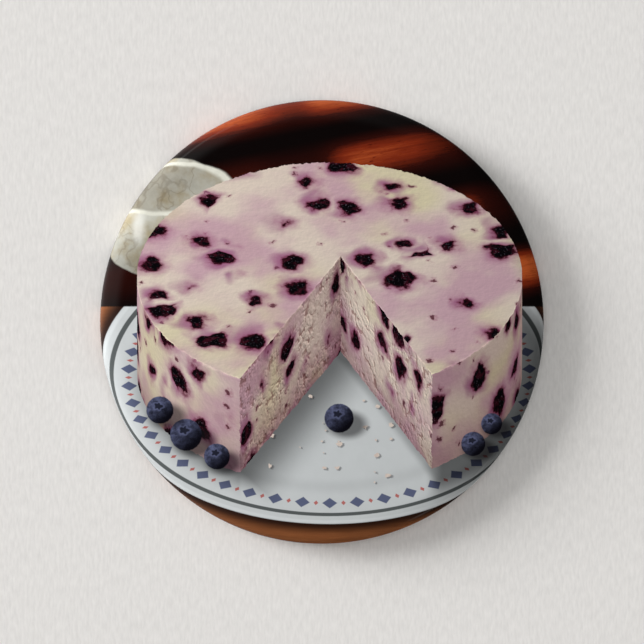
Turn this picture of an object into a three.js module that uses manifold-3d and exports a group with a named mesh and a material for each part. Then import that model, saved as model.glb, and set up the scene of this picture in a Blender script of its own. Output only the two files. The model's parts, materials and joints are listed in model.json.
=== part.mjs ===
// A round pin-back button badge, lying on its back with the printed face up.
// A domed tinplate shell is wrapped in a cover of printed paper under clear film. The cover rolls round
// the rim and is tucked in behind a stamped tinplate back, which carries a hairpin of spring wire: one
// leg is held under two lanced straps, and the other is the pin, whose point is caught by a lanced hook.
// Units are millimetres. +Z is out of the printed face, +Y is the picture's top, and z = 0 is the plane
// that the rolled rim stands on.
import * as THREE from "three";
import { mergeVertices } from "three/addons/utils/BufferGeometryUtils.js";
import Module from "manifold-3d";

const wasm = await Module();
wasm.setup();

const degrees = THREE.MathUtils.degToRad;

// Driving dimensions of the round parts
const RADIUS = 29; // outside of the rolled rim
const HEIGHT = 5.8; // from the foot to the middle of the dome
const DOME_SLOPE = degrees(6); // slope of the dome where the shoulder begins
const SHOULDER = 8; // radius of the soft shoulder between the dome and the rim's roll
const SHOULDER_SLOPE = degrees(20); // slope where the roll begins
const ROLL = 2; // radius of the roll between the shoulder and the side
const CURL = 1.1; // radius of the curl under the rim
const FOOT = 0.6; // width of the flat ring that the badge stands on
const TUCK = 0.45; // radius where the cover turns in behind the back
const TUCK_TOP = 2.3; // how high the tucked edge of the cover reaches
const COVER = 0.25; // printed paper and clear film together
const TIN = 0.25; // tinplate of the shell and the back
const GAP = 0.1; // between neighbouring pieces

// Driving dimensions of the stamped back
const FLOOR_Z = 2.8; // rear face of the sunken middle, where the pin lies
const LAND_Z = 0.4; // rear face of the raised ring round it
const LAND_INNER = 24.4; // where that ring begins
const SLOPE = 2.2; // width of the slope from the middle to the ring
const BEND = 0.8; // radius of the bend from the ring to the flange
const FLANGE_TOP = 3.2; // top of the flange inside the shell
const BEAD_RADIUS = 20.4; // stiffening bead pressed into the middle
const BEAD_WIDTH = 1.6;
const BEAD_DEPTH = 0.35;

// Driving dimensions of the wire, its straps and its hook
const WIRE = 0.45; // radius of the spring wire
const ANCHOR_Y = 1.4; // the leg held by the straps
const PIN_Y = 7; // the leg that is the pin
const PIN_Z = 1.5; // height of the pin's axis
const BEND_X = 15.4; // where the legs run into the hairpin bend
const ANCHOR_END_X = 0.6;
const TIP_X = -18.6;
const POINT = 4.5; // length of the ground point
const TIP_SHARE = 0.1; // the blunt end of the point, as a share of the wire
const STRAP_X = [3.6, 11.6];
const STRAP_WIDTH = 2.4;
const STRAP_REACH = 0.7; // from a strap's bend to the end of its foot
const STRAP_EASE = [0.1, 0.2]; // where the foot dips: from the bend, and below the back
const STRAP_OPENING = 0.35; // from a strap's bend to each end of its window
const HOOK_X = -14.6;
const HOOK_WIDTH = 2.8;
const HOOK_REACH = 0.9; // from the hook's bend to the end of its root
const HOOK_EASE = [0.25, 0.15]; // where the root dips: from the bend, and below the back
const HOOK_DROP = 0.6; // how far below the back the hook's side runs straight down
const HOOK_OPENING = [0.6, 0.5]; // from the hook's bend to each end of its window
const SWING_SLOPE = degrees(45); // how steeply the pin leaves the hook, from the plane of the back
const LIP = 0.45; // length of the flared lip at the end of the hook
const SLIT = 0.25; // play between a lanced tongue and the window that it leaves
const JOINT_GAP = 0.3; // between the two halves of the hairpin

const SEGMENTS = 48; // facets round the badge
const SIDES = 8; // facets round the wire

const point = (x, y) => new THREE.Vector2(x, y);

// Points on an arc round centre. Angles run from straight up, clockwise, in radians.
function arc(centre, radius, from, to, steps) {
  return Array.from({ length: steps + 1 }, (_, i) => {
    const angle = from + ((to - from) * i) / steps;
    return point(centre.x + radius * Math.sin(angle), centre.y + radius * Math.cos(angle));
  });
}

// The line of points moved sideways by a distance, to the left of its direction.
function moved(line, distance) {
  return line.map((p, i) => {
    const before = line[Math.max(i - 1, 0)];
    const after = line[Math.min(i + 1, line.length - 1)];
    const along = point(after.x - before.x, after.y - before.y).normalize();
    return point(p.x - along.y * distance, p.y + along.x * distance);
  });
}

// A sheet of metal in section: its middle line, thickened to both sides.
function sheet(line, thickness) {
  return [...moved(line, thickness / 2), ...moved(line, -thickness / 2).reverse()];
}

// The centre of the next arc of a smooth chain, from the last centre: the arcs touch at the slope.
function nextCentre(centre, lastRadius, radius, slope) {
  const step = lastRadius - radius;
  return point(centre.x + step * Math.sin(slope), centre.y + step * Math.cos(slope));
}

// The face is a chain of three arcs: dome, shoulder and roll. The dome's radius follows from the others.
const DOME = SHOULDER + (RADIUS - ROLL - (SHOULDER - ROLL) * Math.sin(SHOULDER_SLOPE)) / Math.sin(DOME_SLOPE);
const DOME_CENTRE = point(0, HEIGHT - DOME);
const SHOULDER_CENTRE = nextCentre(DOME_CENTRE, DOME, SHOULDER, DOME_SLOPE);
const ROLL_CENTRE = nextCentre(SHOULDER_CENTRE, SHOULDER, ROLL, SHOULDER_SLOPE);
const FOOT_INNER = RADIUS - CURL - FOOT;

// The outside of the badge in section, from the middle of the dome round the rim's roll, its curl and,
// if it is a tucked line, up behind the back. It is moved inwards by inset.
function rimLine(inset, [domeSteps, shoulderSteps, rollSteps, curlSteps], tucked) {
  const quarter = Math.PI / 2;
  const line = [
    ...arc(DOME_CENTRE, DOME - inset, 0, DOME_SLOPE, domeSteps),
    ...arc(SHOULDER_CENTRE, SHOULDER - inset, DOME_SLOPE, SHOULDER_SLOPE, shoulderSteps).slice(1),
    ...arc(ROLL_CENTRE, ROLL - inset, SHOULDER_SLOPE, quarter, rollSteps).slice(1),
    ...arc(point(RADIUS - CURL, CURL), CURL - inset, quarter, 2 * quarter, curlSteps),
    point(FOOT_INNER, inset),
  ];
  if (tucked) {
    line.push(...arc(point(FOOT_INNER, TUCK), TUCK - inset, 2 * quarter, 3 * quarter, 2).slice(1));
    line.push(point(FOOT_INNER - TUCK + inset, TUCK_TOP));
  }
  return line;
}

// A section turned round the Z axis. Its points run outwards over the top and back underneath.
function turned(section) {
  return new THREE.LatheGeometry([...section].reverse(), SEGMENTS).rotateX(Math.PI / 2);
}

function solid(geometry) {
  const bare = geometry.clone();
  bare.deleteAttribute("normal");
  bare.deleteAttribute("uv");
  const merged = mergeVertices(bare, 1e-4);
  return new wasm.Manifold(
    new wasm.Mesh({
      numProp: 3,
      vertProperties: new Float32Array(merged.attributes.position.array),
      triVerts: new Uint32Array(merged.index.array),
    }),
  );
}

function geometryOf(manifold) {
  const mesh = manifold.getMesh();
  const geometry = new THREE.BufferGeometry();
  geometry.setAttribute("position", new THREE.BufferAttribute(mesh.vertProperties, 3));
  geometry.setIndex(new THREE.BufferAttribute(mesh.triVerts, 1));
  geometry.computeVertexNormals();
  return geometry;
}

// Printed paper under clear film, wrapped round the rim and tucked in.
function coverGeometry() {
  const outside = rimLine(0, [3, 2, 4, 4], true);
  const inside = rimLine(COVER, [3, 2, 3, 3], true);
  return turned([...outside, ...inside.reverse()]);
}

// The domed shell under the cover. Its raw edge lies in the curl.
function shellGeometry() {
  const outside = rimLine(COVER + GAP, [3, 2, 3, 3], false);
  const inside = rimLine(COVER + GAP + TIN, [3, 2, 3, 2], false);
  return turned([...outside, ...inside.reverse()]);
}

// The middle line of the stamped back, from its centre to the top of its flange.
function backLine() {
  const middle = FLOOR_Z + TIN / 2;
  const land = LAND_Z + TIN / 2;
  const flange = FOOT_INNER - TUCK - GAP - TIN / 2;
  const bead = [-1, -0.45, 0, 0.45, 1].map((t) =>
    point(BEAD_RADIUS + (t * BEAD_WIDTH) / 2, middle - BEAD_DEPTH * Math.cos((t * Math.PI) / 2)),
  );
  const slope = [0, 0.25, 0.5, 0.75, 1].map((t) =>
    point(LAND_INNER - SLOPE * (1 - t), middle + ((land - middle) * (1 - Math.cos(Math.PI * t))) / 2),
  );
  const bend = arc(point(flange - BEND, land + BEND), BEND, Math.PI, Math.PI / 2, 3);
  return [point(0, middle), ...bead, ...slope, ...bend, point(flange, FLANGE_TOP)];
}

// A strip bent to a section in the YZ plane, width wide along X, with its middle at x.
function strip(line, x, width) {
  const shape = new THREE.Shape(sheet(line, TIN));
  const geometry = new THREE.ExtrudeGeometry(shape, { depth: width, steps: 1, bevelEnabled: false });
  // The section's x and y become Y and Z, and the extrusion runs along X.
  geometry.applyMatrix4(new THREE.Matrix4().set(0, 0, 1, x - width / 2, 1, 0, 0, 0, 0, 1, 0, 0, 0, 0, 0, 1));
  return solid(geometry);
}

const BRIDGE = WIRE + GAP + TIN / 2; // from a wire's axis to the middle of the metal bent round it
const ROOT = FLOOR_Z + TIN / 2; // the middle of the back's metal, where its tongues begin
const ANCHOR_Z = FLOOR_Z - GAP - WIRE; // the held leg lies on the back
const HAIRPIN = (PIN_Y - ANCHOR_Y) / 2; // radius of the bend
// The middle of the bend, which the pin swings about
const HINGE = new THREE.Vector3(BEND_X + HAIRPIN, (PIN_Y + ANCHOR_Y) / 2, (PIN_Z + ANCHOR_Z) / 2);

// A strap is lanced out of the back on both sides of the held leg and bridges it.
function strap(x) {
  const reach = BRIDGE + STRAP_REACH;
  const [across, below] = STRAP_EASE;
  const foot = BRIDGE + across;
  const line = [
    point(ANCHOR_Y - reach, ROOT),
    point(ANCHOR_Y - foot, ROOT - below),
    ...arc(point(ANCHOR_Y, ANCHOR_Z), BRIDGE, degrees(270), degrees(90), 5),
    point(ANCHOR_Y + foot, ROOT - below),
    point(ANCHOR_Y + reach, ROOT),
  ];
  return strip(line, x, STRAP_WIDTH);
}

// The hook comes down beside the pin and curls under it, open towards the held leg. It curls only as far
// as lets the pin out along SWING_SLOPE, and from there its lip flares out along that slope.
function hook() {
  const inner = BRIDGE - TIN / 2;
  const curlEnd = degrees(180) - SWING_SLOPE + Math.acos((WIRE + GAP / 2) / inner);
  const curl = arc(point(PIN_Y, PIN_Z), BRIDGE, degrees(90), curlEnd, 5);
  const end = curl[curl.length - 1];
  const side = PIN_Y + BRIDGE;
  const [across, below] = HOOK_EASE;
  const line = [
    point(side + HOOK_REACH, ROOT),
    point(side + across, ROOT - below),
    point(side, ROOT - HOOK_DROP),
    ...curl,
    point(end.x - LIP * Math.cos(SWING_SLOPE), end.y - LIP * Math.sin(SWING_SLOPE)),
  ];
  return strip(line, HOOK_X, HOOK_WIDTH);
}

// The window that a lanced tongue leaves, from one y to another.
function windowCut(x, width, fromY, toY) {
  const box = new THREE.BoxGeometry(width + 2 * SLIT, toY - fromY, 4 * TIN);
  box.translate(x, (fromY + toY) / 2, ROOT);
  return solid(box);
}

function backGeometry() {
  const half = BRIDGE + STRAP_OPENING;
  const [lipEnd, rootEnd] = HOOK_OPENING;
  let back = solid(turned(sheet(backLine(), TIN)));
  for (const x of STRAP_X) back = back.subtract(windowCut(x, STRAP_WIDTH, ANCHOR_Y - half, ANCHOR_Y + half));
  back = back.subtract(windowCut(HOOK_X, HOOK_WIDTH, PIN_Y - BRIDGE - lipEnd, PIN_Y + BRIDGE + rootEnd));
  for (const x of STRAP_X) back = back.add(strap(x));
  return geometryOf(back.add(hook()));
}

// One leg of the hairpin and its half of the bend, from the leg's free end to the gap at the bend's top.
class HairpinHalf extends THREE.Curve {
  constructor(freeX, legY, legZ) {
    super();
    this.free = new THREE.Vector3(freeX, legY, legZ);
  }
  getPoint(t, target = new THREE.Vector3()) {
    const leg = BEND_X - this.free.x;
    const bend = (HAIRPIN * Math.PI) / 2 - JOINT_GAP / 2;
    const along = t * (leg + bend);
    const turn = Math.max(along - leg, 0) / HAIRPIN;
    const top = 1 - Math.cos(turn);
    return target.set(
      this.free.x + Math.min(along, leg) + HAIRPIN * Math.sin(turn),
      this.free.y + (HINGE.y - this.free.y) * top,
      this.free.z + (HINGE.z - this.free.z) * top,
    );
  }
}

// A round wire along a curve, in a number of steps.
function wire(curve, steps) {
  const section = new THREE.Shape(
    Array.from({ length: SIDES }, (_, i) => {
      const angle = (2 * Math.PI * (i + 0.5)) / SIDES;
      return point(WIRE * Math.cos(angle), WIRE * Math.sin(angle));
    }),
  );
  return new THREE.ExtrudeGeometry(section, { extrudePath: curve, steps, bevelEnabled: false });
}

function anchorGeometry() {
  return wire(new HairpinHalf(ANCHOR_END_X, ANCHOR_Y, ANCHOR_Z), 20);
}

// The pin, ground to a point at its free end.
function pinGeometry() {
  const geometry = wire(new HairpinHalf(TIP_X, PIN_Y, PIN_Z), 40);
  const at = geometry.attributes.position;
  for (let i = 0; i < at.count; i++) {
    const along = (at.getX(i) - TIP_X) / POINT;
    if (along >= 1) continue;
    const share = TIP_SHARE + (1 - TIP_SHARE) * Math.sin((along * Math.PI) / 2);
    at.setY(i, PIN_Y + (at.getY(i) - PIN_Y) * share);
    at.setZ(i, PIN_Z + (at.getZ(i) - PIN_Z) * share);
  }
  return geometry;
}

const print = new THREE.MeshStandardMaterial({ color: 0xcdbfc2, roughness: 0.3, metalness: 0 });
const tinplate = new THREE.MeshStandardMaterial({ color: 0xc3c5c6, roughness: 0.35, metalness: 1 });
const springWire = new THREE.MeshStandardMaterial({ color: 0xb7b9bb, roughness: 0.25, metalness: 1 });

function piece(name, geometry, material) {
  const mesh = new THREE.Mesh(geometry, material);
  mesh.name = name;
  return mesh;
}

const badge = new THREE.Group();
badge.name = "badge";
badge.add(piece("printed_cover", coverGeometry(), print));
badge.add(piece("front_shell", shellGeometry(), tinplate));
badge.add(piece("back_plate", backGeometry(), tinplate));
badge.add(piece("wire_anchor", anchorGeometry(), springWire));
badge.add(piece("pin_arm", pinGeometry(), springWire));

export default badge;
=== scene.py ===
"""Looks of a round pin-back button badge.

The face is a print of a blueberry-studded cheese wheel under clear film, wrapped round a domed tinplate
shell. The back is stamped tinplate with a hairpin of spring wire. Shapes are worked out in millimetres.
"""

import json
import math

import bmesh
import bpy
import numpy as np
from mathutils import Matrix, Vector


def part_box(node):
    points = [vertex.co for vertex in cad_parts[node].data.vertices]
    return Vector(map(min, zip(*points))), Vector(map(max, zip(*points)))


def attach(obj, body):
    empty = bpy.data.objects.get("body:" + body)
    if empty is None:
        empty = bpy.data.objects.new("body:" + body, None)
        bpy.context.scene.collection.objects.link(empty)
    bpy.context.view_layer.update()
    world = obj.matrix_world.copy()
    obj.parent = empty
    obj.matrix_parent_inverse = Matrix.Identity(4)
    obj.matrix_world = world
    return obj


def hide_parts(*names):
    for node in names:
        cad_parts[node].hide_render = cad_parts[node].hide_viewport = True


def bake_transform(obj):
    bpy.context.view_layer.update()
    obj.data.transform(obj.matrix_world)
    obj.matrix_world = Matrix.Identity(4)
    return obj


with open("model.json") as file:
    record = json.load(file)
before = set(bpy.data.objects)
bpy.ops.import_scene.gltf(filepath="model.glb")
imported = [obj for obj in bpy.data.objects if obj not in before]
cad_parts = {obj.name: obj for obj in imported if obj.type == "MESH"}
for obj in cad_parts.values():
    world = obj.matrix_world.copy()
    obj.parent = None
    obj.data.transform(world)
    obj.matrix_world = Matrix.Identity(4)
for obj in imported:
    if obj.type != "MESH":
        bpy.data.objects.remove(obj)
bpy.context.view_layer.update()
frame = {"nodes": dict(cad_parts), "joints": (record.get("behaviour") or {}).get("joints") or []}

MM = 0.001
cover_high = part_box("printed_cover")[1] / MM
back_low, back_high = (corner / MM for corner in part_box("back_plate"))
held_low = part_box("wire_anchor")[0] / MM
pin_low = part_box("pin_arm")[0] / MM
hinge = Vector(frame["joints"][0]["pos_m"]) / MM

# The cover, from the dome of the face out to the rim, round it and up inside. Its arcs are given by their
# radii and by the slopes at which they meet.
RADIUS = cover_high.x
HEIGHT = cover_high.z
DOME_SLOPE = math.radians(6)
SHOULDER = 8.0
SHOULDER_SLOPE = math.radians(20)
ROLL = 2.0
CURL = 1.1
FOOT = 0.6
TUCK = 0.45
TUCK_TOP = 2.3
COVER_THICKNESS = 0.25

# The pleats of the cover: how deep they are, how far from the tucked edge they start and end, and over
# what length they grow and fade
PLEAT_DEPTH = 0.07
PLEAT_START, PLEAT_GROWTH = 6.2, 2.5
PLEAT_END, PLEAT_FADE = 1.4, 1.2

# The stamped back: a raised middle with a bead round it, a slope down to the flat land and a bend up into
# the flange. MIDDLE_Z and LAND_Z are heights of the lower face, SLOPE is a width and BEND a radius.
TIN = 0.25
MIDDLE_Z = 2.8
LAND_Z = back_low.z
LAND_INNER = 24.4
SLOPE = 2.2
BEND = 0.8
FLANGE_TOP = back_high.z
FLANGE_RADIUS = back_high.x
BEAD_RADIUS = 20.4
BEAD_WIDTH = 1.6
BEAD_DEPTH = 0.35

# The wire: its radius, its hairpin bend's radius, how far the pin lies below the held leg, how long the
# pin's point is, the share of the radius left at its tip, and how far the other end's edge is eased
WIRE = 0.45
HAIRPIN = 2.8
PIN_DROP = 0.75
POINT = 4.5
BLUNT = 0.09
END_EASE = 0.08
HELD_Y, HELD_Z = hinge.y - HAIRPIN, hinge.z + PIN_DROP / 2
PIN_Y, PIN_Z = hinge.y + HAIRPIN, hinge.z - PIN_DROP / 2
BEND_X = hinge.x - HAIRPIN

# The straps over the held leg and the hook under the pin, which are lanced from the back and wrap round
# the wire with some play. A root is a row of points, each so far out from the wrap and so far down from
# the middle. An opening is how far a tongue's window reaches beyond the wrap.
PLAY = 0.1
WRAP = WIRE + PLAY + TIN / 2
ROOT_Z = MIDDLE_Z + TIN / 2
STRAP_X = (3.6, 11.6)
STRAP_WIDTH = 2.4
STRAP_ROOT = ((0.7, 0.0), (0.45, 0.03), (0.1, 0.2))
STRAP_OPENING = 0.35
HOOK_X = -14.6
HOOK_WIDTH = 2.8
HOOK_ROOT = ((0.9, 0.0), (0.5, 0.05), (0.16, 0.25), (0.0, 0.6))
HOOK_OPENING = (0.6, 0.5)
HOOK_LIP = 0.45
SLIT = 0.25
WINDOW_CORNER = 0.25
# Which way the pin leaves its hook, down from level
SWING_SLOPE = math.radians(45)
# How far in from a tongue's cut edges the tinplate is eased, and how much on each face
EASED_WIDTH, EASED_DEPTH = 0.05, 0.03

# How many sides the round pieces have
COVER_SIDES = 384
TIN_SIDES = 256
WIRE_SIDES = 20


# ---------------------------------------------------------------- outlines, in millimetres


def arc(centre, radius, start, end, steps):
    """Points on an arc. Angles run from straight up, clockwise."""
    angles = np.linspace(start, end, steps + 1)
    return [(centre[0] + radius * math.sin(a), centre[1] + radius * math.cos(a)) for a in angles]


def moved(line, distance):
    """The line moved sideways by a distance, to the left of its direction."""
    points = np.array(line, float)
    before = points[np.maximum(np.arange(len(points)) - 1, 0)]
    after = points[np.minimum(np.arange(len(points)) + 1, len(points) - 1)]
    along = after - before
    along /= np.linalg.norm(along, axis=1)[:, None]
    return [tuple(p) for p in points + distance * np.stack([-along[:, 1], along[:, 0]], axis=1)]


def sheet(line, thickness):
    """A sheet of metal in section, from its middle line."""
    return moved(line, thickness / 2) + moved(line, -thickness / 2)[::-1]


def next_centre(centre, last_radius, radius, slope):
    """The centre of the next arc of a smooth chain, which touches the last one at that slope."""
    step = last_radius - radius
    return (centre[0] + step * math.sin(slope), centre[1] + step * math.cos(slope))


DOME = SHOULDER + (RADIUS - ROLL - (SHOULDER - ROLL) * math.sin(SHOULDER_SLOPE)) / math.sin(DOME_SLOPE)
DOME_CENTRE = (0.0, HEIGHT - DOME)
SHOULDER_CENTRE = next_centre(DOME_CENTRE, DOME, SHOULDER, DOME_SLOPE)
ROLL_CENTRE = next_centre(SHOULDER_CENTRE, SHOULDER, ROLL, SHOULDER_SLOPE)
FOOT_INNER = RADIUS - CURL - FOOT


def rim_outline(inset):
    """The cover in section, from the middle of the dome round the rim to its tucked edge."""
    quarter = math.pi / 2
    line = arc(DOME_CENTRE, DOME - inset, 0, DOME_SLOPE, 24)
    line += arc(SHOULDER_CENTRE, SHOULDER - inset, DOME_SLOPE, SHOULDER_SLOPE, 8)[1:]
    line += arc(ROLL_CENTRE, ROLL - inset, SHOULDER_SLOPE, quarter, 16)[1:]
    line += arc((RADIUS - CURL, CURL), CURL - inset, quarter, 2 * quarter, 14)
    line += arc((FOOT_INNER, TUCK), TUCK - inset, 2 * quarter, 3 * quarter, 6)
    return line + [(FOOT_INNER - TUCK + inset, TUCK_TOP)]


def back_line():
    """The middle line of the stamped back, from its centre to the top of its flange."""
    land_z = LAND_Z + TIN / 2
    flange = FLANGE_RADIUS - TIN / 2
    rings = [(r, ROOT_Z) for r in (0.0, 6.0, 12.0, 17.0)]
    bead = [
        (BEAD_RADIUS + t * BEAD_WIDTH / 2, ROOT_Z - BEAD_DEPTH * math.cos(t * math.pi / 2) ** 2)
        for t in np.linspace(-1, 1, 13)
    ]
    slope = [
        (LAND_INNER - SLOPE * (1 - t), ROOT_Z + (land_z - ROOT_Z) * (1 - math.cos(math.pi * t)) / 2)
        for t in np.linspace(0, 1, 15)
    ]
    bend = arc((flange - BEND, land_z + BEND), BEND, math.pi, math.pi / 2, 8)
    return rings + bead + slope + bend + [(flange, FLANGE_TOP)]


def strap_line():
    """The middle line of a strap, which bridges the held leg from one side of it to the other."""
    start = [(HELD_Y - WRAP - out, ROOT_Z - down) for out, down in STRAP_ROOT]
    end = [(HELD_Y + WRAP + out, ROOT_Z - down) for out, down in STRAP_ROOT[::-1]]
    return start + arc((HELD_Y, HELD_Z), WRAP, 1.5 * math.pi, 0.5 * math.pi, 16) + end


def hook_line():
    """The middle line of the hook, which curls under the pin and flares out the way that the pin leaves."""
    root = [(PIN_Y + WRAP + out, ROOT_Z - down) for out, down in HOOK_ROOT]
    inner = WRAP - TIN / 2
    curl_end = math.pi - SWING_SLOPE + math.acos((WIRE + PLAY / 2) / inner)
    curl = arc((PIN_Y, PIN_Z), WRAP, math.pi / 2, curl_end, 14)
    y, z = curl[-1]
    return root + curl + [(y - HOOK_LIP * math.cos(SWING_SLOPE), z - HOOK_LIP * math.sin(SWING_SLOPE))]


def wire_route():
    """The middle line of the wire and its radii, from the held end to the pin's point."""
    route = [(x, HELD_Y, HELD_Z) for x in np.linspace(held_low.x, BEND_X, 12)[:-1]]
    for turn in np.linspace(0, math.pi, 33):
        share = (1 - math.cos(turn)) / 2
        x = BEND_X + HAIRPIN * math.sin(turn)
        route.append((x, HELD_Y + 2 * HAIRPIN * share, HELD_Z - PIN_DROP * share))
    ground = pin_low.x + POINT
    route += [(x, PIN_Y, PIN_Z) for x in np.linspace(BEND_X, ground, 14)[1:]]
    route += [(x, PIN_Y, PIN_Z) for x in np.linspace(ground, pin_low.x, 18)[1:]]
    radii = []
    for x, y, _ in route:
        along = min((x - pin_low.x) / POINT, 1) if y > hinge.y else 1
        radii.append(WIRE * (BLUNT + (1 - BLUNT) * math.sin(along * math.pi / 2)))
    end = route[0]
    route[0] = (end[0] + END_EASE, end[1], end[2])
    return [end] + route, [WIRE - END_EASE] + radii


# ---------------------------------------------------------------- meshes


def new_piece(name, vertices, faces):
    """A closed mesh from vertices in millimetres."""
    mesh = bpy.data.meshes.new(name)
    mesh.from_pydata([tuple(v * MM for v in p) for p in vertices], [], faces)
    solid = bmesh.new()
    solid.from_mesh(mesh)
    bmesh.ops.recalc_face_normals(solid, faces=solid.faces)
    solid.to_mesh(mesh)
    solid.free()
    piece = bpy.data.objects.new(name, mesh)
    bpy.context.scene.collection.objects.link(piece)
    return piece


def soften(piece, angle):
    """Smooth shading, but for edges sharper than the angle in degrees."""
    piece.data.polygons.foreach_set("use_smooth", [True] * len(piece.data.polygons))
    piece.data.set_sharp_from_angle(angle=math.radians(angle))


def on_axis(r):
    return r < 1e-6


def turned(name, section, sides):
    """A section that starts on the axis and ends on it, turned round the Z axis."""
    vertices, rings = [], []
    turns = np.linspace(0, 2 * math.pi, sides, endpoint=False)
    for r, z in section:
        if on_axis(r):
            rings.append([len(vertices)] * sides)
            vertices.append((0.0, 0.0, z))
        else:
            rings.append(list(range(len(vertices), len(vertices) + sides)))
            vertices += [(r * math.cos(a), r * math.sin(a), z) for a in turns]
    faces = []
    for one, two in zip(rings, rings[1:]):
        for i in range(sides):
            j = (i + 1) % sides
            corners = list(dict.fromkeys([one[i], one[j], two[j], two[i]]))
            if len(corners) > 2:
                faces.append(corners)
    return new_piece(name, vertices, faces)


def stacked(name, rings):
    """A solid from rings of as many points each, closed at its first and last ring."""
    count = len(rings[0])
    faces = []
    for start in range(0, count * (len(rings) - 1), count):
        for i in range(count):
            j = (i + 1) % count
            faces.append([start + i, start + j, start + count + j, start + count + i])
    last = count * (len(rings) - 1)
    faces += [list(range(count))[::-1], list(range(last, last + count))]
    return new_piece(name, [point for ring in rings for point in ring], faces)


def combine(piece, other, operation):
    """A boolean of two closed meshes, applied to the first. The second is used up."""
    modifier = piece.modifiers.new("combine", "BOOLEAN")
    modifier.operation, modifier.solver, modifier.object = operation, "EXACT", other
    graph = bpy.context.evaluated_depsgraph_get()
    mesh = bpy.data.meshes.new_from_object(piece.evaluated_get(graph))
    piece.modifiers.clear()
    piece.data = mesh
    bpy.data.objects.remove(other)


def strip(name, line, x, width):
    """A strip of tinplate bent to a line in the YZ plane, with its cut edges eased."""
    half = width / 2
    full, thin = sheet(line, TIN), sheet(line, TIN - 2 * EASED_DEPTH)
    sections = ((-half, thin), (EASED_WIDTH - half, full), (half - EASED_WIDTH, full), (half, thin))
    return stacked(name, [[(x + along, y, z) for y, z in section] for along, section in sections])


def window(x, width, low_y, high_y):
    """A cutter for the window that a lanced tongue leaves, with rounded corners."""
    half_x, half_y = (width + 2 * SLIT) / 2, (high_y - low_y) / 2
    middle_y = (low_y + high_y) / 2
    outline = []
    for i, (right, up) in enumerate(((1, 1), (1, -1), (-1, -1), (-1, 1))):
        centre = (x + right * (half_x - WINDOW_CORNER), middle_y + up * (half_y - WINDOW_CORNER))
        outline += arc(centre, WINDOW_CORNER, i * math.pi / 2, (i + 1) * math.pi / 2, 4)
    levels = (MIDDLE_Z - 2 * TIN, MIDDLE_Z + 3 * TIN)
    return stacked("window", [[(*corner, z) for corner in outline] for z in levels])


def make_back():
    """The stamped back with its lanced straps and hook."""
    back = turned("tin_back", sheet(back_line(), TIN), TIN_SIDES)
    half = WRAP + STRAP_OPENING
    low, high = PIN_Y - WRAP - HOOK_OPENING[0], PIN_Y + WRAP + HOOK_OPENING[1]
    for x in STRAP_X:
        combine(back, window(x, STRAP_WIDTH, HELD_Y - half, HELD_Y + half), "DIFFERENCE")
    combine(back, window(HOOK_X, HOOK_WIDTH, low, high), "DIFFERENCE")
    for x in STRAP_X:
        combine(back, strip("strap", strap_line(), x, STRAP_WIDTH), "UNION")
    combine(back, strip("hook", hook_line(), HOOK_X, HOOK_WIDTH), "UNION")
    soften(back, 35)
    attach(back, "badge")
    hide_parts("back_plate")
    return back


def make_cover():
    """Printed paper under clear film. Each vertex keeps its place on the flat paper, in print_place."""
    outside, inside = rim_outline(0), rim_outline(COVER_THICKNESS)
    section = outside + inside[::-1]
    cover = turned("print_cover", section, COVER_SIDES)
    points = np.zeros(len(cover.data.vertices) * 3, np.float32)
    cover.data.vertices.foreach_get("co", points)
    points = points.reshape(-1, 3).astype(float)
    lengths = np.concatenate([[0], np.cumsum(np.linalg.norm(np.diff(np.array(outside), axis=0), axis=1))])
    # The vertices are in rings, in the section's order, and a point on the axis is a ring of one.
    ring_sizes = [1 if on_axis(r) else COVER_SIDES for r, _ in section]
    reach = np.repeat(np.concatenate([lengths, lengths[::-1]]), ring_sizes)
    turn = np.arctan2(points[:, 1], points[:, 0])
    place = np.stack([reach * np.cos(turn), reach * np.sin(turn), 0 * reach], axis=1)
    attribute = cover.data.attributes.new("print_place", "FLOAT_VECTOR", "POINT")
    attribute.data.foreach_set("vector", place.astype(np.float32).ravel())
    points = pleated(points, turn, lengths[-1] - reach)
    cover.data.vertices.foreach_set("co", points.astype(np.float32).ravel())
    soften(cover, 60)
    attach(cover, "badge")
    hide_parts("printed_cover")
    return cover


def pleated(points, turn, from_edge):
    """The points moved into shallow uneven pleats, which gather where the cover turns under the rim."""
    growth = np.clip((PLEAT_START - from_edge) / PLEAT_GROWTH, 0, 1) ** 2
    fade = np.clip((from_edge - PLEAT_END) / PLEAT_FADE, 0, 1)
    # Two uneven trains of waves, 61 and 97 round the rim, which go further in than out
    waves = np.sin(61 * turn + 1.3 * np.sin(7 * turn)) + 0.6 * np.sin(97 * turn + 2 * np.sin(5 * turn + 1))
    depth = PLEAT_DEPTH * growth * fade * np.clip(waves, -0.4, 1.6)
    inwards = -points / np.maximum(np.linalg.norm(points[:, :2], axis=1), 1e-9)[:, None]
    inwards[:, 2] = 0.6
    return points + inwards * (depth * MM)[:, None]


def make_wire():
    """The whole hairpin as one piece of wire, from the end held on the badge round its bend to the pin's
    point.
    """
    route, radii = wire_route()
    points = np.array(route)
    rings = []
    for i, (centre, radius) in enumerate(zip(points, radii)):
        along = points[min(i + 1, len(points) - 1)] - points[max(i - 1, 0)]
        along /= np.linalg.norm(along)
        side = np.cross(along, (0, 0, 1))
        side /= np.linalg.norm(side)
        up = np.cross(side, along)
        turns = np.linspace(0, 2 * math.pi, WIRE_SIDES, endpoint=False)
        rings.append([centre + radius * (math.cos(a) * side + math.sin(a) * up) for a in turns])
    wire = stacked("spring_wire", rings)
    soften(wire, 50)
    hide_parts("wire_anchor", "pin_arm")
    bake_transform(wire)
    return wire


# ---------------------------------------------------------------- node trees


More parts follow.
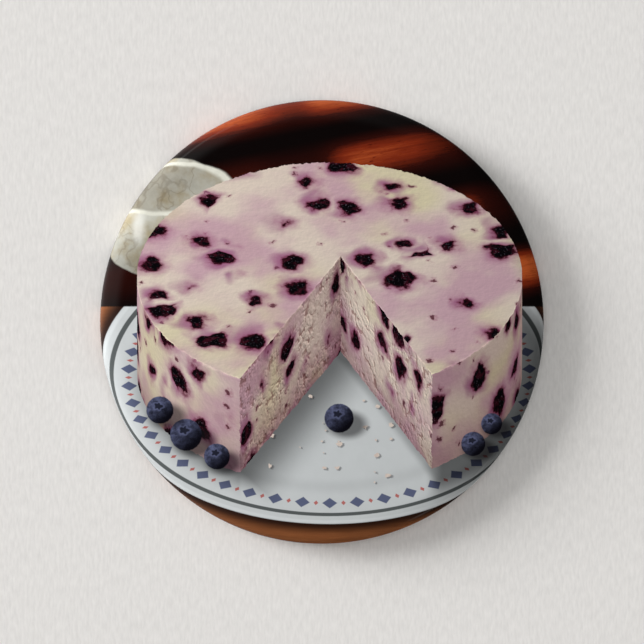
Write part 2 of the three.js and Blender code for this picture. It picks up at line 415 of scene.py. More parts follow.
class Socket:
    """An output in a node tree. Arithmetic on it adds Math nodes."""

    def __init__(self, tree, link):
        self.tree, self.link = tree, link

    def __add__(self, other):
        return self.tree.math("ADD", self, other)

    __radd__ = __add__

    def __sub__(self, other):
        return self.tree.math("SUBTRACT", self, other)

    def __rsub__(self, other):
        return self.tree.math("SUBTRACT", other, self)

    def __mul__(self, other):
        return self.tree.math("MULTIPLY", self, other)

    __rmul__ = __mul__

    def __truediv__(self, other):
        return self.tree.math("DIVIDE", self, other)

    def __lt__(self, other):
        return self.tree.math("LESS_THAN", self, other)

    def __gt__(self, other):
        return self.tree.math("GREATER_THAN", self, other)


class Tree:
    """A node tree, and the few ways that this object adds to one."""

    def __init__(self, owner):
        owner.use_nodes = True
        self.owner, self.tree = owner, owner.node_tree

    def feed(self, node, inputs):
        """Sets sockets by name or number, each to a value or to another node's output."""
        for key, value in inputs.items():
            socket = node.inputs[key]
            if isinstance(value, Socket):
                self.tree.links.new(value.link, socket)
            elif socket.type == "RGBA":
                socket.default_value = (*value, 1)
            else:
                socket.default_value = value

    def node(self, kind, settings=None, inputs=None, output=0):
        """A node of a kind: its settings first, then its sockets. A tuple of outputs gives them all."""
        node = self.tree.nodes.new(kind)
        for key, value in (settings or {}).items():
            if key == "stops":
                self.set_stops(node.color_ramp, value)
            else:
                setattr(node, key, value)
        self.feed(node, inputs or {})
        if isinstance(output, tuple):
            return tuple(Socket(self, node.outputs[name]) for name in output)
        return Socket(self, node.outputs[output])

    def set_stops(self, ramp, stops):
        while len(ramp.elements) < len(stops):
            ramp.elements.new(1)
        for element, (position, colour) in zip(ramp.elements, stops):
            element.position, element.color = position, (*colour, 1)

    def math(self, operation, first, second=0.0):
        return self.node("ShaderNodeMath", {"operation": operation}, {0: first, 1: second})

    def least(self, first, second):
        return self.math("MINIMUM", first, second)

    def most(self, first, second):
        return self.math("MAXIMUM", first, second)

    def away(self, value):
        return self.math("ABSOLUTE", value)

    def ease(self, value, start, end, low=0.0, high=1.0):
        """low before start, high after end, and a smooth step between."""
        inputs = {"Value": value, "From Min": start, "From Max": end, "To Min": low, "To Max": high}
        return self.node("ShaderNodeMapRange", {"interpolation_type": "SMOOTHSTEP"}, inputs)

    def mix(self, share, first, second):
        """A mix of two colours."""
        return self.node("ShaderNodeMix", {"data_type": "RGBA"}, {0: share, 6: first, 7: second}, 2)

    def tinted(self, share, colour, tint):
        """A colour multiplied by a tint, as far as the share."""
        settings = {"data_type": "RGBA", "blend_type": "MULTIPLY"}
        return self.node("ShaderNodeMix", settings, {0: share, 6: colour, 7: tint}, 2)

    def choose(self, share, first, second):
        """A mix of two vectors."""
        return self.node("ShaderNodeMix", {"data_type": "VECTOR"}, {0: share, 4: first, 5: second}, 1)

    def vector(self, x, y, z=0.0):
        return self.node("ShaderNodeCombineXYZ", None, {0: x, 1: y, 2: z})

    def split(self, vector):
        return self.node("ShaderNodeSeparateXYZ", None, {0: vector}, ("X", "Y", "Z"))

    def shift(self, vector, by):
        return self.node("ShaderNodeVectorMath", {"operation": "ADD"}, {0: vector, 1: by})

    def scaled(self, vector, by):
        return self.node("ShaderNodeVectorMath", {"operation": "SCALE"}, {0: vector, "Scale": by})

    def noise(self, place, scale, detail=2.0, roughness=0.5, output="Fac"):
        inputs = {"Vector": place, "Scale": scale, "Detail": detail, "Roughness": roughness}
        return self.node("ShaderNodeTexNoise", None, inputs, output)

    def cells(self, place, scale, output="Distance", feature="F1"):
        settings = {"voronoi_dimensions": "2D", "feature": feature}
        return self.node("ShaderNodeTexVoronoi", settings, {"Vector": place, "Scale": scale}, output)

    def place(self):
        """Where a point of the object is, in millimetres."""
        return self.scaled(self.node("ShaderNodeTexCoord", None, None, "Object"), 1 / MM)


class Finish(Tree):
    """A material. Values that are the same all over it are named here, as its shader's sockets."""

    def __init__(self, name, **constants):
        super().__init__(bpy.data.materials.new(name))
        self.shader = self.tree.nodes["Principled BSDF"]
        self.feed(self.shader, {key.replace("_", " "): value for key, value in constants.items()})

    def bump(self, height, strength, distance):
        inputs = {"Strength": strength, "Distance": distance * MM, "Height": height}
        return self.node("ShaderNodeBump", None, inputs, "Normal")

    def cover(self, piece):
        piece.data.materials.clear()
        piece.data.materials.append(self.owner)


# ---------------------------------------------------------------- the print
# The picture is laid out in millimetres on the flat paper, from the middle of the face. Where four numbers
# stand for an ellipse, they are its centre and its half width and height.

# The cheese wheel: the ellipse of its top, its height, and its shadow on the plate
WHEEL_X, WHEEL_Y = 1.0, 5.8
WHEEL_A, WHEEL_B = 25.0, 14.8
WHEEL_H = 12.2
WHEEL_SHADOW = (WHEEL_X + 3.0, WHEEL_Y - WHEEL_H - 0.8, WHEEL_A + 0.6, WHEEL_B + 0.4)
# Where the cut wedge's edges meet on the top, where they reach its front edge, and how ragged they are
CORNER_X, CORNER_Y = 2.4, 8.4
CUT_LEFT, CUT_RIGHT = -10.6, 14.2
RAGGED = 0.85
# True size over drawn size, back over the top and down the sides, as seen from this height
TOP_STRETCH = WHEEL_A / WHEEL_B
SIDE_STRETCH = 1 / math.sqrt(1 - (WHEEL_B / WHEEL_A) ** 2)
# How far along in the cheese the side and the cut faces are taken from, and how far down the right one is,
# so that none of them repeats another
SIDE_START, CUT_START, RIGHT_CUT_START = 60, 140, 30
# Each berry in the cheese, each scrap of skin and each crumb on the plate has a patch to itself, this wide
BERRY_PATCH, SPECK_PATCH, CRUMB_PATCH = 6.4, 2.9, 1.7
# The ellipse that most of the crumbs lie in
CRUMB_FALL = (3.0, -13.5, 9.5, 5.5)
# The berries that lie loose, by centre and radius
LOOSE_BERRIES = (
    ((-17.6, -14.6), 2.1),
    ((-21.0, -11.4), 1.8),
    ((-13.6, -17.4), 1.7),
    ((19.6, -15.8), 1.6),
    ((22.0, -13.2), 1.4),
    ((2.2, -12.4), 1.9),
)
# The plate: its ellipse, and how far in from its edge its lip, line, painted band and well are
PLATE_X, PLATE_Y = 1.0, -7.2
PLATE_A, PLATE_B = 30.5, 19.0
PLATE_LIP, PLATE_LINE, PLATE_BAND, PLATE_WELL = 0.3, 1.25, 2.75, 4.9
PLATE_LOZENGES = 46
# The ellipses of the bowl
BOWL_BODY = (-20.5, 13.6, 9.6, 8.0)
BOWL_MOUTH = (-20.5, 17.4, 8.4, 3.2)
BOWL_GLINT = (-23.8, 12.4, 0.9, 2.0)
# The table's back edge, and the boards behind it: their width, their tilt, and how far below the middle of
# the face one of them starts
TABLE_BACK = 2.0
BOARD_WIDTH, BOARD_TILT, BOARD_START = 9.2, 0.2, 3.4


def ink(red, green, blue):
    """A printed colour from its 8-bit values, in linear light."""
    return tuple(
        c / 12.92 if c <= 0.04045 else ((c + 0.055) / 1.055) ** 2.4
        for c in (red / 255, green / 255, blue / 255)
    )


# The inks: the cheese with its berries, the crumbs, the loose berries, the plate, the table and the bowl
CREAM, STRAW, LILAC = ink(214, 199, 185), ink(209, 199, 167), ink(191, 153, 167)
DYE, STAIN, JUICE = ink(150, 92, 128), ink(158, 92, 128), ink(104, 34, 58)
BERRY_RED, BERRY_BLACK, BERRY_GLINT = ink(52, 12, 24), ink(7, 5, 8), ink(118, 110, 124)
SPECK, SPECK_STAIN = ink(78, 24, 38), ink(156, 88, 116)
CRUMB_GAP, CRUMB_SHADOW = ink(140, 92, 88), ink(52, 48, 52)
CRUMB_DARK, CRUMB_LIGHT = ink(196, 172, 164), ink(232, 222, 208)
LOOSE_SKIN, LOOSE_BLOOM, LOOSE_SHADOW = ink(10, 9, 17), ink(104, 110, 146), ink(20, 16, 20)
GLAZE, GLAZE_LINE = ink(201, 205, 206), ink(58, 64, 64)
LOZENGE_BLUE, DOT_RED = ink(40, 54, 104), ink(178, 52, 36)
TABLE_DARK, TABLE_LIGHT, TABLE_SHADOW = ink(116, 66, 38), ink(168, 104, 62), ink(44, 24, 16)
STONE, STONE_STAIN, STONE_VEIN = ink(212, 211, 199), ink(188, 175, 144), ink(128, 112, 88)
STONE_GLINT, STONE_LIP, STONE_HOLLOW = ink(240, 240, 234), ink(222, 221, 208), ink(90, 74, 44)
# The boards, from their gaps to the middle of a reflection
BOARD_STOPS = (
    (0.0, ink(10, 5, 5)),
    (0.3, ink(48, 12, 7)),
    (0.62, ink(124, 40, 16)),
    (1.0, ink(190, 88, 40)),
)
# The colour of the light on the cheese where none of the lamp's reaches
SHADE = (0.16, 0.03, 0.05)


def front_y(x):
    """Where the front edge of the wheel's top is."""
    return WHEEL_Y - WHEEL_B * math.sqrt(1 - ((x - WHEEL_X) / WHEEL_A) ** 2)


def cut_edge(end_x):
    """The slope of a cut edge as drawn, and its true length for each millimetre across."""
    slope = (CORNER_Y - front_y(end_x)) / (CORNER_X - end_x)
    return slope, math.hypot(1, slope * TOP_STRETCH)


def ring(paint, x, y, centre_x, centre_y, half_width, half_height):
    """Roughly how far a place is outside an ellipse, in millimetres."""
    u, v = (x - centre_x) / half_width, (y - centre_y) / half_height
    return (paint.math("SQRT", u * u + v * v) - 1) * half_height


def bent(paint, q, scale, detail, amount):
    """The place q moved about by a noise, so that what is drawn there is uneven."""
    wander = paint.shift(paint.noise(q, scale, detail, 0.55, "Color"), (-0.5, -0.5, -0.5))
    return paint.shift(q, paint.scaled(wander, amount))


def patches(paint, place, width):
    """How far a place is from the middle and from the edge of its uneven patch, and two of its numbers.

    The distances are in widths, and the numbers, from 0 to 1, are the same all over the patch.
    """
    near, seed = paint.cells(place, 1 / width, ("Distance", "Color"))
    edge = paint.cells(place, 1 / width, feature="DISTANCE_TO_EDGE")
    chance, size, _ = paint.split(seed)
    return near, edge, chance, size


def dark_boards(paint, x, y):
    """Polished red-brown boards behind the wheel, with a warm reflection along each."""
    across, along = y - BOARD_TILT * x + BOARD_START, x + BOARD_TILT * y
    board = paint.math("FRACT", across / BOARD_WIDTH)
    number = paint.math("FLOOR", across / BOARD_WIDTH)
    grain = paint.noise(paint.vector(along * 0.10, across * 2.4), 1.0, 4, 0.6)
    fibre = paint.noise(paint.vector(along * 0.5, across * 5.5), 1.0, 3, 0.7)
    patch = paint.ease(paint.noise(paint.vector(along * 0.055, number * 7.3), 1.0, 1), 0.32, 0.66)
    glow = paint.ease(board, 0.08, 0.55) * paint.ease(board, 0.97, 0.62)
    warm = glow * (0.18 + 0.82 * patch) * (0.60 + 0.52 * grain + 0.50 * (fibre - 0.25))
    pores = paint.ease(paint.noise(paint.vector(along * 0.7 + 20, across * 4.0), 1.0, 2, 0.6), 0.62, 0.74)
    return paint.node("ShaderNodeValToRGB", {"stops": BOARD_STOPS}, {0: warm * (1 - 0.35 * pores)})


def plate_light(paint, x, y):
    """How much light reaches the plate, round the wheel and where its wedge was. It comes from the left."""
    outside = paint.ease(ring(paint, x, y, *WHEEL_SHADOW), -0.6, 2.8, 0.2, 1.0)
    behind = y - CORNER_Y + WHEEL_H
    from_left = x - CORNER_X - behind / cut_edge(CUT_LEFT)[0]
    from_right = behind / cut_edge(CUT_RIGHT)[0] - (x - CORNER_X)
    opening = paint.ease(from_left, 0.0, 9.0, 0.24, 1.0) * paint.ease(from_right, 0.0, 1.6, 0.6, 1.0)
    # The left block's shadow ends along a line from the foot of its front corner
    below = front_y(CUT_LEFT) - WHEEL_H - 0.3 * (x - CUT_LEFT) - y
    opening = paint.most(opening, paint.ease(below, -0.6, 3.0, 0.2, 1.0))
    between = paint.ease(x, CUT_LEFT - 0.3, CUT_LEFT + 0.3) * paint.ease(x, CUT_RIGHT + 1.6, CUT_RIGHT - 1.0)
    return outside + (opening - outside) * between


def plate_border(paint, x, y, out, glaze):
    """A band of blue lozenges with a red dot between each two."""
    u, v = (x - PLATE_X) / PLATE_A, (y - PLATE_Y) / PLATE_B
    turn = paint.math("ARCTAN2", v, u) * (PLATE_LOZENGES / (2 * math.pi))
    spot = paint.away(paint.math("FRACT", turn) - 0.5)
    from_band = paint.away(out + PLATE_BAND)
    lozenge = spot * 2.9 + from_band * 1.15
    glaze = paint.mix(paint.ease(lozenge, 0.86, 0.72) * 0.85, glaze, LOZENGE_BLUE)
    dot = (0.5 - spot) * 9.0 + from_band * 2.4
    return paint.mix(paint.ease(dot, 0.9, 0.6) * 0.8, glaze, DOT_RED)


def pale_plate(paint, x, y):
    """A pale blue-grey plate with a thin dark line and a painted band, on a brown table."""
    out = ring(paint, x, y, PLATE_X, PLATE_Y, PLATE_A, PLATE_B)
    tone = 0.95 + 0.10 * paint.noise(paint.vector(x, y), 0.5, 4, 0.6)
    well = paint.ease(paint.away(out + PLATE_WELL), 1.3, 0.0)
    lip = paint.ease(paint.away(out + PLATE_LIP), 0.28, 0.05)
    line = paint.ease(paint.away(out + PLATE_LINE), 0.27, 0.17)
    glaze = paint.scaled(GLAZE, tone - 0.10 * well + 0.12 * lip)
    glaze = paint.mix(line * 0.9, glaze, GLAZE_LINE)
    glaze = plate_border(paint, x, y, out, glaze)
    glaze = paint.scaled(glaze, plate_light(paint, x, y))
    grain = paint.noise(paint.vector(x * 0.2, y * 2.2), 1.0, 3, 0.6)
    wood = paint.mix(grain, TABLE_DARK, TABLE_LIGHT)
    table = paint.mix(paint.ease(out, 2.0, 0.2), wood, TABLE_SHADOW)
    return paint.mix(paint.ease(out, 0.06, -0.06), table, glaze)


def stone_bowl(paint, x, y, colour):
    """A bowl of polished veined stone that stands half behind the wheel."""
    uneven = 0.5 * (paint.noise(paint.vector(x, y), 0.35, 2) - 0.5)
    body = ring(paint, x, y, *BOWL_BODY) + uneven
    rim = ring(paint, x, y, *BOWL_MOUTH) + uneven
    shade = paint.ease(x, -27.0, -12.5, 1.0, 0.62) * paint.ease(y, 6.0, 16.0, 0.55, 1.0)
    cloudy = 0.74 + 0.52 * paint.noise(paint.vector(x, y), 0.55, 6, 0.62)
    stain = paint.ease(paint.noise(paint.vector(x + 50, y), 0.20, 4, 0.6), 0.38, 0.66)
    stone = paint.scaled(paint.mix(stain, STONE, STONE_STAIN), cloudy)
    wander = bent(paint, paint.vector(x, y), 0.5, 3, 1.6)
    vein = paint.away(paint.noise(wander, 0.24, 2) - 0.5)
    stone = paint.mix(paint.ease(vein, 0.022, 0.0) * 0.32, stone, STONE_VEIN)
    colour = paint.mix(paint.ease(body, 0.14, -0.14), colour, paint.scaled(stone, shade))
    glint = ring(paint, x, y, *BOWL_GLINT) + 2.4 * uneven
    colour = paint.mix(paint.ease(glint, 1.1, -1.2) * 0.62, colour, STONE_GLINT)
    lip = paint.scaled(STONE_LIP, 0.80 + 0.40 * paint.noise(paint.vector(x, y), 0.9, 3))
    colour = paint.mix(paint.ease(rim, 0.52, 0.26), colour, lip)
    gloom = 1 - paint.ease(x, -28.0, -13.0, 0.42, 0.80) * paint.ease(y, 18.6, 13.5, 0.72, 1.0)
    hollow = paint.tinted(gloom, stone, STONE_HOLLOW)
    return paint.mix(paint.ease(rim, 0.08, -0.34), colour, hollow)


def dyed_cheese(paint, q):
    """Cream and lilac cheese, with the dye drawn out of the berries, which spreads to one side."""
    cloud = paint.noise(q, 0.075, 3, 0.5)
    warm = paint.noise(paint.shift(q, (31, 7, 0)), 0.055, 2)
    colour = paint.mix(paint.ease(warm, 0.44, 0.62), CREAM, STRAW)
    colour = paint.mix(paint.ease(cloud, 0.41, 0.62) * 0.88, colour, LILAC)
    drift = bent(paint, paint.shift(q, (0.6, -0.4, 0)), 0.22, 1, 6.5)
    near, edge, chance, size = patches(paint, drift, BERRY_PATCH)
    dyed = paint.ease(near, 0.24 + 0.40 * size, 0.03) * paint.ease(edge, 0.0, 0.16)
    return paint.mix(dyed * paint.ease(chance, 0.18, 0.40) * 0.8, colour, DYE)


def crumb_height(paint, q):
    """The height of rounded crumbs of two sizes, at most 0 between them."""
    place = bent(paint, q, 0.9, 4, 1.9)
    coarse, fine = paint.cells(place, 0.85), paint.cells(place, 2.4)
    return 0 - coarse * coarse - 0.5 * fine * fine


def crumbly(paint, q, cut, colour):
    """Crumbs and knife marks, lit from one side."""
    patch = paint.noise(paint.shift(q, (9, 2, 0)), 0.22, 3, 0.6)
    loose = cut * paint.ease(patch, 0.40, 0.58, 0.12, 1.0)
    height = crumb_height(paint, q)
    slope = height - crumb_height(paint, paint.shift(q, (0.14, -0.17, 0)))
    knife = paint.noise(q, 1.1, 4, 0.65) - paint.noise(paint.shift(q, (0.12, -0.14, 0)), 1.1, 4, 0.65)
    fine = paint.noise(q, 6.0, 2, 0.7) - 0.5
    relief = knife * (0.5 + 0.5 * cut) + slope * 1.5 * loose + fine * (0.06 + 0.12 * loose)
    colour = paint.scaled(colour, 1 + relief)
    return paint.mix(paint.ease(height, -0.34, -0.62) * loose * 0.6, colour, CRUMB_GAP)


def specks(paint, q, colour):
    """Scraps of berry skin."""
    near, edge, chance, size = patches(paint, bent(paint, q, 1.2, 2, 1.5), SPECK_PATCH)
    inside = paint.least(0.03 + 0.13 * size - near - paint.ease(chance, 0.72, 0.70), edge - 0.12)
    colour = paint.mix(paint.ease(inside, -0.12, 0.0) * 0.45, colour, SPECK_STAIN)
    return paint.mix(paint.ease(inside, 0.0, 0.03) * 0.85, colour, SPECK)


def set_berries(paint, q, colour):
    """Whole and cut berries, and in some places only the stain of one that lies deeper."""
    near, edge, chance, size = patches(paint, bent(paint, q, 0.34, 2, 3.4), BERRY_PATCH)
    skin = paint.noise(q, 1.7, 3, 0.65) - 0.5
    hidden = paint.ease(chance, 0.40, 0.37, 0.0, 0.22) + paint.ease(chance, 0.22, 0.20)
    # Over 0 in a berry, and under it in the cheese, which is stained where it is near 0
    flesh = paint.least(0.11 + 0.19 * size - near + 0.16 * skin - hidden, edge * 2.2 - 0.30)
    colour = paint.mix(paint.ease(flesh, -0.30, 0.0) * 0.62, colour, STAIN)
    colour = paint.mix(paint.ease(flesh, -0.09, 0.01) * 0.8, colour, JUICE)
    colour = paint.mix(paint.ease(flesh, -0.012, 0.012), colour, BERRY_RED)
    ripe = paint.noise(paint.shift(q, (17, 3, 0)), 0.8, 3, 0.6)
    colour = paint.mix(paint.ease(flesh, 0.012, 0.05) * paint.ease(ripe, 0.62, 0.48), colour, BERRY_BLACK)
    glint = paint.ease(paint.noise(q, 3.4, 3, 0.6), 0.60, 0.68) * paint.ease(flesh, 0.03, 0.09)
    return paint.mix(glint * 0.5, colour, BERRY_GLINT)


def berry_cheese(paint, q, cut):
    """Cheese with berries in it, over its own surface q, in millimetres.

    Where it was cut, at 1, it is crumbly in patches, and the skin of the wheel, at 0, is smooth.
    """
    colour = crumbly(paint, q, cut, dyed_cheese(paint, q))
    return set_berries(paint, q, specks(paint, q, colour))


def wheel(paint, x, y, colour):
    """The cheese wheel with a wedge cut out of its front, lit from the left."""
    # The outline of the whole wheel, as seen from in front and above
    u = paint.most(paint.least((x - WHEEL_X) / WHEEL_A, 0.9999), -0.9999)
    rise = WHEEL_B * paint.math("SQRT", 1 - u * u)
    ragged = RAGGED * (paint.noise(paint.vector(x, y), 1.1, 5, 0.7) - 0.5)
    front = WHEEL_Y - rise + ragged
    inside = (y < WHEEL_Y + rise + ragged) * (y > front - WHEEL_H)
    inside = inside * (paint.away(x - WHEEL_X) < WHEEL_A - 0.05)
    on_side = y < front

    # The two cut faces, which go down from the edges of the cut
    left_slope, left_stretch = cut_edge(CUT_LEFT)
    right_slope, right_stretch = cut_edge(CUT_RIGHT)
    from_corner = x - CORNER_X
    is_right = from_corner > ragged
    down = CORNER_Y + from_corner * (left_slope + (right_slope - left_slope) * is_right) - y + ragged
    between = (x > CUT_LEFT + ragged) * (x < CUT_RIGHT + ragged)
    on_face = between * (down > 0)

    # Where a place is on the cheese's own surface, at true size
    top_place = paint.vector(x, (y - WHEEL_Y) * TOP_STRETCH)
    side_place = paint.vector(WHEEL_A * paint.math("ARCSINE", u) + SIDE_START, (front - y) * SIDE_STRETCH)
    along = from_corner * (left_stretch + (right_stretch - left_stretch) * is_right)
    face_place = paint.vector(along + CUT_START, down * SIDE_STRETCH + RIGHT_CUT_START * is_right)
    place = paint.choose(on_face, paint.choose(on_side, top_place, side_place), face_place)
    cheese = berry_cheese(paint, place, on_face)

    # Less light on the side, on the left cut face, low down and in the nook where the cut faces meet
    side_light = paint.ease(u, -0.95, 0.9, 0.95, 0.56)
    light = 1.0 + (side_light - 1.0) * on_side
    light = light + (0.60 + 0.36 * is_right - light) * on_face
    low = paint.most(on_face * down, on_side * (front - y)) / WHEEL_H
    nook = on_face * paint.ease(paint.away(from_corner), 2.4, 0.0)
    light = light * paint.ease(low, 0.5, 1.05, 1.0, 0.6) * (1 - 0.35 * nook)
    cheese = paint.tinted(1 - light, cheese, SHADE)

    # The edges catch the light where they are worn
    rim = paint.ease(paint.away(y - front), 0.30, 0.03) * (1 - on_face)
    edge = paint.most(rim, paint.ease(paint.away(down), 0.28, 0.03) * between)
    worn = paint.ease(paint.noise(paint.vector(x, y), 0.7, 4, 0.65), 0.34, 0.66)
    cheese = paint.scaled(cheese, 1 + 0.42 * edge * worn)

    # The plate shows where the wedge stood
    opened = on_face * (down > WHEEL_H)
    return paint.mix(inside * (1 - opened), colour, cheese)


def crumb_shape(paint, x, y):
    """Over 0 inside the crumbs that lie on the plate, mostly in front of where the wedge was."""
    near, _, chance, size = patches(paint, paint.vector(x, y * 1.3), CRUMB_PATCH)
    share = paint.ease(ring(paint, x, y, *CRUMB_FALL), 3.0, -2.0, 0.0, 0.3)
    grain = 0.5 * (paint.noise(paint.vector(x, y), 2.6, 3, 0.7) - 0.5)
    return 0.05 + 0.21 * size - near + grain - (chance > share)


def crumbs(paint, x, y, colour):
    """Crumbs of cheese on the plate, each with its shadow."""
    shadow = crumb_shape(paint, x - 0.22, y + 0.14)
    colour = paint.mix(paint.ease(shadow, -0.08, 0.06) * 0.6, colour, CRUMB_SHADOW)
    lit = paint.mix(paint.noise(paint.vector(x, y), 2.2, 2), CRUMB_DARK, CRUMB_LIGHT)
    return paint.mix(paint.ease(crumb_shape(paint, x, y), 0.0, 0.05), colour, lit)


def loose_berry(paint, x, y, colour, centre, radius):
    """A whole blueberry with its bloom, its crown and its shadow."""
    centre_x, centre_y = centre
    beside, below = centre_x + 0.55 * radius, centre_y - 0.45 * radius
    shadow = ring(paint, x, y, beside, below, radius * 1.25, radius * 0.85)
    colour = paint.mix(paint.ease(shadow, 0.7, -0.5) * 0.75, colour, LOOSE_SHADOW)
    u, v = (x - centre_x) / radius, (y - centre_y) / radius
    lit = paint.ease(v * 0.72 - u * 0.62, -0.75, 1.05)
    bloom = paint.ease(paint.noise(paint.vector(x, y), 1.3, 5, 0.68), 0.30, 0.72)
    skin = paint.mix(lit * (0.16 + 0.84 * bloom), LOOSE_SKIN, LOOSE_BLOOM)
    # The crown is a ragged star of five points, up and to the left of the middle
    crown_u, crown_v = -0.12, 0.28
    points = paint.math("COSINE", 5 * paint.math("ARCTAN2", v - crown_v, u - crown_u))
    wander = 0.16 * (paint.noise(paint.vector(x, y), 2.4, 2) - 0.5)
    crown = ring(paint, u, v, crown_u, crown_v, 0.34, 0.25) - 0.045 * points + wander
    skin = paint.mix(paint.ease(crown, 0.12, 0.0) * 0.4, skin, LOOSE_BLOOM)
    skin = paint.mix(paint.ease(crown, 0.0, -0.09) * 0.85, skin, LOOSE_SKIN)
    reach = paint.math("SQRT", u * u + v * v) + 0.4 * wander
    return paint.mix(paint.ease(reach, 1.02, 0.95), colour, skin)


def print_finish():
    """The picture printed on the paper, under the shine of the clear film."""
    paint = Finish(
        "print_under_film",
        Roughness=0.5,
        Specular_IOR_Level=0.0,
        Coat_Weight=1.0,
        Coat_Roughness=0.14,
        Coat_IOR=1.45,
    )
    place = paint.node("ShaderNodeAttribute", {"attribute_name": "print_place"}, None, "Vector")
    x, y, _ = paint.split(place)
    behind = paint.ease(y, TABLE_BACK - 0.1, TABLE_BACK + 0.1)
    colour = paint.mix(behind, pale_plate(paint, x, y), dark_boards(paint, x, y))
    colour = stone_bowl(paint, x, y, colour)
    colour = crumbs(paint, x, y, colour)
    colour = wheel(paint, x, y, colour)
    for centre, radius in LOOSE_BERRIES:
        colour = loose_berry(paint, x, y, colour, centre, radius)
    paint.feed(paint.shader, {"Base Color": colour})
    return paint


# ---------------------------------------------------------------- metal

TINPLATE = (0.60, 0.605, 0.60)
NICKEL, TARNISHED = (0.66, 0.66, 0.65), (0.50, 0.48, 0.45)


def tin_finish():
    """Bright tinplate: a faint rolled grain, a few fine scratches and slightly dull patches."""
    metal = Finish("bright_tinplate", Metallic=1.0)
    x, y, z = metal.split(metal.place())
    grain = metal.noise(metal.vector(x * 0.3, y * 9.0, z), 1.0, 3, 0.6)
    blotch = metal.noise(metal.vector(x, y, z), 0.16, 4, 0.6)
    wave = metal.noise(metal.vector(x, y, z), 0.22, 1)
    along = metal.noise(metal.vector(x * 0.25 + y * 3.2, y * 0.3 - x * 0.2, z), 1.3, 3, 0.5)
    across = metal.noise(metal.vector(x * 2.9 - y * 0.8, y * 0.2 + x * 0.1, z + 40), 1.1, 3, 0.5)
    scratch = metal.most(metal.ease(along, 0.70, 0.76), metal.ease(across, 0.72, 0.78))
    colour = metal.scaled(TINPLATE, 0.90 + 0.09 * blotch + 0.08 * (grain - 0.5))
    bump = metal.bump(0.35 * grain - 0.35 * scratch + 0.5 * wave, 0.12, 0.03)
    rough = 0.23 + 0.07 * metal.ease(blotch, 0.30, 0.75) + 0.08 * (grain - 0.5) + 0.08 * scratch
    metal.feed(metal.shader, {"Base Color": colour, "Roughness": rough, "Normal": bump})
    return metal


def wire_finish():
    """Nickel-plated spring wire with faint drawing lines along it."""
    metal = Finish("nickel_wire", Metallic=1.0)
    x, y, z = metal.split(metal.place())
    lines = metal.noise(metal.vector(x * 0.4, y * 14.0, z * 14.0), 1.0, 2)
    tarnish = metal.noise(metal.vector(x, y, z), 0.7, 3)
    colour = metal.mix(metal.ease(tarnish, 0.4, 0.75) * 0.4, NICKEL, TARNISHED)
    bump = metal.bump(lines, 0.1, 0.02)
    rough = 0.14 + 0.12 * tarnish + 0.08 * lines
    metal.feed(metal.shader, {"Base Color": colour, "Roughness": rough, "Normal": bump})
    return metal


# ---------------------------------------------------------------- stage

# The floor's colour and half its width, in metres
PALE_PAPER = (0.81, 0.792, 0.77)
FLOOR_HALF = 0.5

# How much of the frame's width the badge fills, and the camera's lens and sensor, in millimetres
BADGE_FILL = 0.689
LENS, SENSOR = 100.0, 36.0

# How far away the lights stand, in metres
STUDIO = 2.2
# Where the key light stands, in degrees anticlockwise from +X
KEY_AZIMUTH = 160
# Each light's azimuth and elevation, how wide it looks from the badge, all in degrees, and the light that
# it casts on the floor, in watts a square metre
LIGHTS = {
    "key": (KEY_AZIMUTH, 20, 24, 1.20),
    "window": (KEY_AZIMUTH - 18, 25, 30, 0.24),
    "overhead": (0, 90, 40, 0.90),
}

# How bright the room is as a light, as the camera sees it, and at least in what mirrors it
ROOM_TINT = (1.0, 0.99, 0.975)
ROOM_LIGHT, ROOM_SEEN, ROOM_MIRRORED = 0.235, 0.74, 0.015
# How bright the wall, the ground below and the two windows are in what mirrors them
WALL, GROUND, PANE = 0.42, 0.5, 0.7
# Each window's azimuth in degrees, and the sines of its lower and upper edge's angles above the floor
PANES = ((128, 0.28, 0.52), (-52, 0.16, 0.34))
PANE_WIDTH = 0.44


def make_floor():
    """A plain pale sheet that the badge lies on. Nothing mirrors it."""
    mesh = bpy.data.meshes.new("floor")
    half = FLOOR_HALF
    corners = [(-half, -half, 0), (half, -half, 0), (half, half, 0), (-half, half, 0)]
    mesh.from_pydata(corners, [], [(0, 1, 2, 3)])
    floor = bpy.data.objects.new("floor", mesh)
    bpy.context.scene.collection.objects.link(floor)
    paper = Finish("pale_paper", Roughness=0.9, Specular_IOR_Level=0.1)
    x, y, _ = paper.split(paper.place())
    tooth = paper.noise(paper.vector(x * 2.8, y * 0.66), 1.0, 2, 0.55)
    colour = paper.scaled(PALE_PAPER, 0.87 + 0.26 * tooth)
    paper.feed(paper.shader, {"Base Color": colour, "Normal": paper.bump(tooth, 0.3, 0.02)})
    paper.cover(floor)
    floor.visible_glossy = False


def softbox(name, azimuth, elevation, angle, brightness):
    """A square area light that looks at the badge, and that nothing mirrors."""
    light = bpy.data.lights.new(name, "AREA")
    light.shape = "SQUARE"
    light.size = 2 * STUDIO * math.tan(math.radians(angle / 2))
    a, e = math.radians(azimuth), math.radians(elevation)
    light.energy = brightness * math.pi * STUDIO**2 / math.sin(e)
    lamp = bpy.data.objects.new(name, light)
    lamp.location = STUDIO * Vector((math.cos(a) * math.cos(e), math.sin(a) * math.cos(e), math.sin(e)))
    lamp.rotation_euler = (-lamp.location).to_track_quat("-Z", "Y").to_euler()
    lamp.visible_glossy = False
    bpy.context.scene.collection.objects.link(lamp)


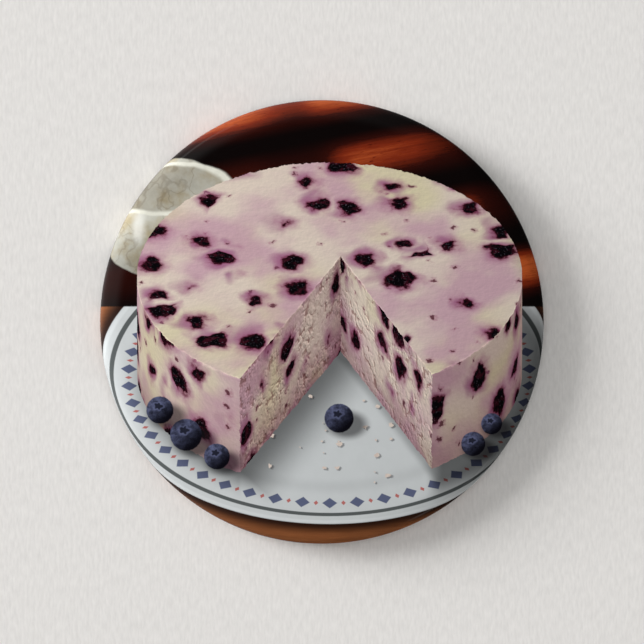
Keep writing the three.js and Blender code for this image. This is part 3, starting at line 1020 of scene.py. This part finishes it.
def make_camera():
    """Straight down on the badge. The distance counts from the widest circle of its rim."""
    data = bpy.data.cameras.new("camera")
    data.lens, data.sensor_width = LENS, SENSOR
    camera = bpy.data.objects.new("camera", data)
    distance = 2 * RADIUS * MM / BADGE_FILL * data.lens / data.sensor_width
    camera.location = (0, 0, distance + ROLL_CENTRE[1] * MM)
    bpy.context.scene.collection.objects.link(camera)
    bpy.context.scene.camera = camera


def pane(room, x, y, z, azimuth, low, high):
    """1 in a soft-edged window of the room, and 0 round it."""
    a = math.radians(azimuth)
    aside = room.away(y * math.cos(a) - x * math.sin(a))
    facing = x * math.cos(a) + y * math.sin(a) > 0
    across = room.ease(aside, PANE_WIDTH / 2 + 0.03, PANE_WIDTH / 2 - 0.03) * facing
    return across * room.ease(z, low - 0.02, low + 0.03) * room.ease(z, high + 0.02, high - 0.03)


def make_world():
    """A pale even room. What mirrors it shows a wall on the key's side, the ground and two windows."""
    world = bpy.data.worlds.new("studio")
    room = Tree(world)
    x, y, z = room.split(room.node("ShaderNodeTexCoord", None, None, "Generated"))
    towards = math.radians(KEY_AZIMUTH)
    side = x * math.cos(towards) + y * math.sin(towards)
    mirrored = ROOM_MIRRORED + room.ease(side, -0.3, 0.9, 0.0, WALL) * room.ease(z, 0.95, 0.80)
    mirrored = room.most(mirrored, room.ease(z, -0.75, -0.95, 0.0, GROUND))
    for azimuth, low, high in PANES:
        mirrored = mirrored + PANE * pane(room, x, y, z, azimuth, low, high)
    glossy = room.node("ShaderNodeLightPath", None, None, "Is Glossy Ray")
    seen = room.node("ShaderNodeLightPath", None, None, "Is Camera Ray")
    strength = ROOM_LIGHT + (mirrored - ROOM_LIGHT) * glossy + (ROOM_SEEN - ROOM_LIGHT) * seen
    room.feed(room.tree.nodes["Background"], {"Color": ROOM_TINT, "Strength": strength})
    bpy.context.scene.world = world


# ---------------------------------------------------------------- the badge in its studio

cover = make_cover()
back = make_back()
wire = make_wire()
shell = frame["nodes"]["front_shell"]

print_finish().cover(cover)
tin = tin_finish()
tin.cover(back)
tin.cover(shell)
wire_finish().cover(wire)

make_floor()
make_camera()
make_world()
for name, settings in LIGHTS.items():
    softbox(name, *settings)
bpy.context.scene.view_settings.view_transform = "Standard"
